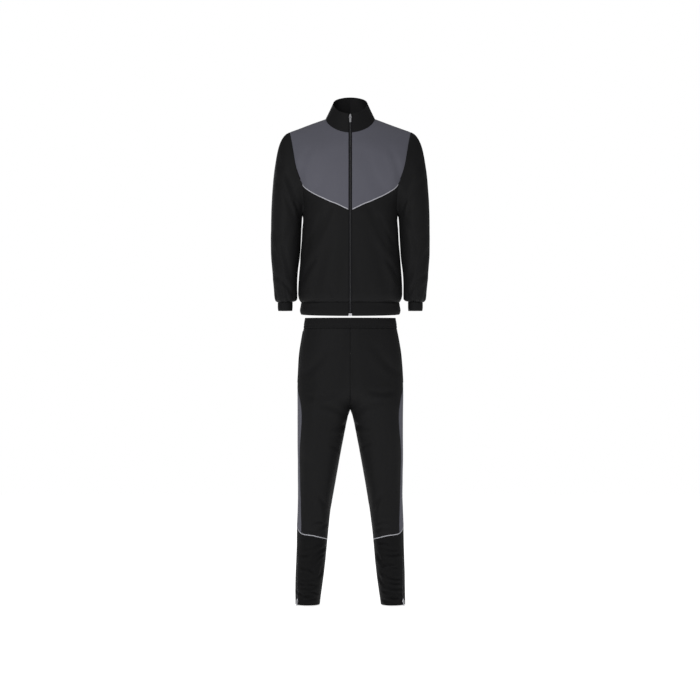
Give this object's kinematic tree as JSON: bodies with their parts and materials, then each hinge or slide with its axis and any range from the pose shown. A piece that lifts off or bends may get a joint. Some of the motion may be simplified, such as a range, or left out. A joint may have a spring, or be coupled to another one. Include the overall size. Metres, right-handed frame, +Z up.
{
  "type": "tracksuit",
  "caption": "Worn-form tracksuit with no wearer: zipped jacket with stand collar above tapered trousers with ankle zips.",
  "frame": {"origin": "middle of the line between the two neck points of the shoulder seams, where the jacket hangs on its wearer", "axes": "+Z up, -Y the front of the wearer, +X the side on the right of the picture (the wearer's left)"},
  "size_m": [0.5722, 0.2673, 1.8339],
  "materials": {
    "black_cloth": "matt black polyester",
    "black_rib": "matt black knit",
    "grey_cloth": "matt dark grey polyester",
    "light_piping": "light grey reflective piping",
    "zip_tape": "black woven tape",
    "zip_teeth": "dark coil teeth",
    "zip_metal": "light grey metal"
  },
  "bodies": {
    "suit": {"ankle_slider_left": "zip_metal", "ankle_slider_right": "zip_metal", "ankle_zip_left": "zip_teeth", "ankle_zip_right": "zip_teeth", "collar": "black_cloth", "cuff_left": "black_rib", "cuff_right": "black_rib", "hem_band": "black_rib", "jacket_back": "black_cloth", "jacket_front_left": "black_cloth", "jacket_front_right": "black_cloth", "knee_piping_left": "light_piping", "knee_piping_right": "light_piping", "lower_front_left": "black_cloth", "lower_front_right": "black_cloth", "lower_side_left": "black_cloth", "lower_side_right": "black_cloth", "pocket_welt_left": "black_cloth", "pocket_welt_right": "black_cloth", "side_stripe_left": "grey_cloth", "side_stripe_right": "grey_cloth", "sleeve_left": "black_cloth", "sleeve_right": "black_cloth", "trousers_back_left": "black_cloth", "trousers_back_right": "black_cloth", "trousers_front_left": "black_cloth", "trousers_front_right": "black_cloth", "waistband": "black_rib", "yoke_left": "grey_cloth", "yoke_piping_left": "light_piping", "yoke_piping_right": "light_piping", "yoke_right": "grey_cloth", "zip_box": "zip_metal", "zip_chain": "zip_teeth", "zip_slider": "zip_metal", "zip_tape_left": "zip_tape", "zip_tape_right": "zip_tape"},
    "front_pull": {"zip_pull": "zip_metal"},
    "left_ankle_pull": {"ankle_pull_left": "zip_metal"},
    "right_ankle_pull": {"ankle_pull_right": "zip_metal"}
  },
  "joints": [
    {"name": "front_pull_swing", "type": "hinge", "parent": "suit", "child": "front_pull", "pos_m": [0, -0.06814, 0.00638], "axis": [-1, 0, 0], "range_deg": [0, 150]},
    {"name": "left_ankle_pull_swing", "type": "hinge", "parent": "suit", "child": "left_ankle_pull", "pos_m": [-0.19172, -0.03889, -1.727], "axis": [-0.5665, 0.824, 0], "range_deg": [0, 150]},
    {"name": "right_ankle_pull_swing", "type": "hinge", "parent": "suit", "child": "right_ankle_pull", "pos_m": [0.19171, -0.03888, -1.727], "axis": [-0.5665, -0.824, 0], "range_deg": [0, 150]}
  ]
}
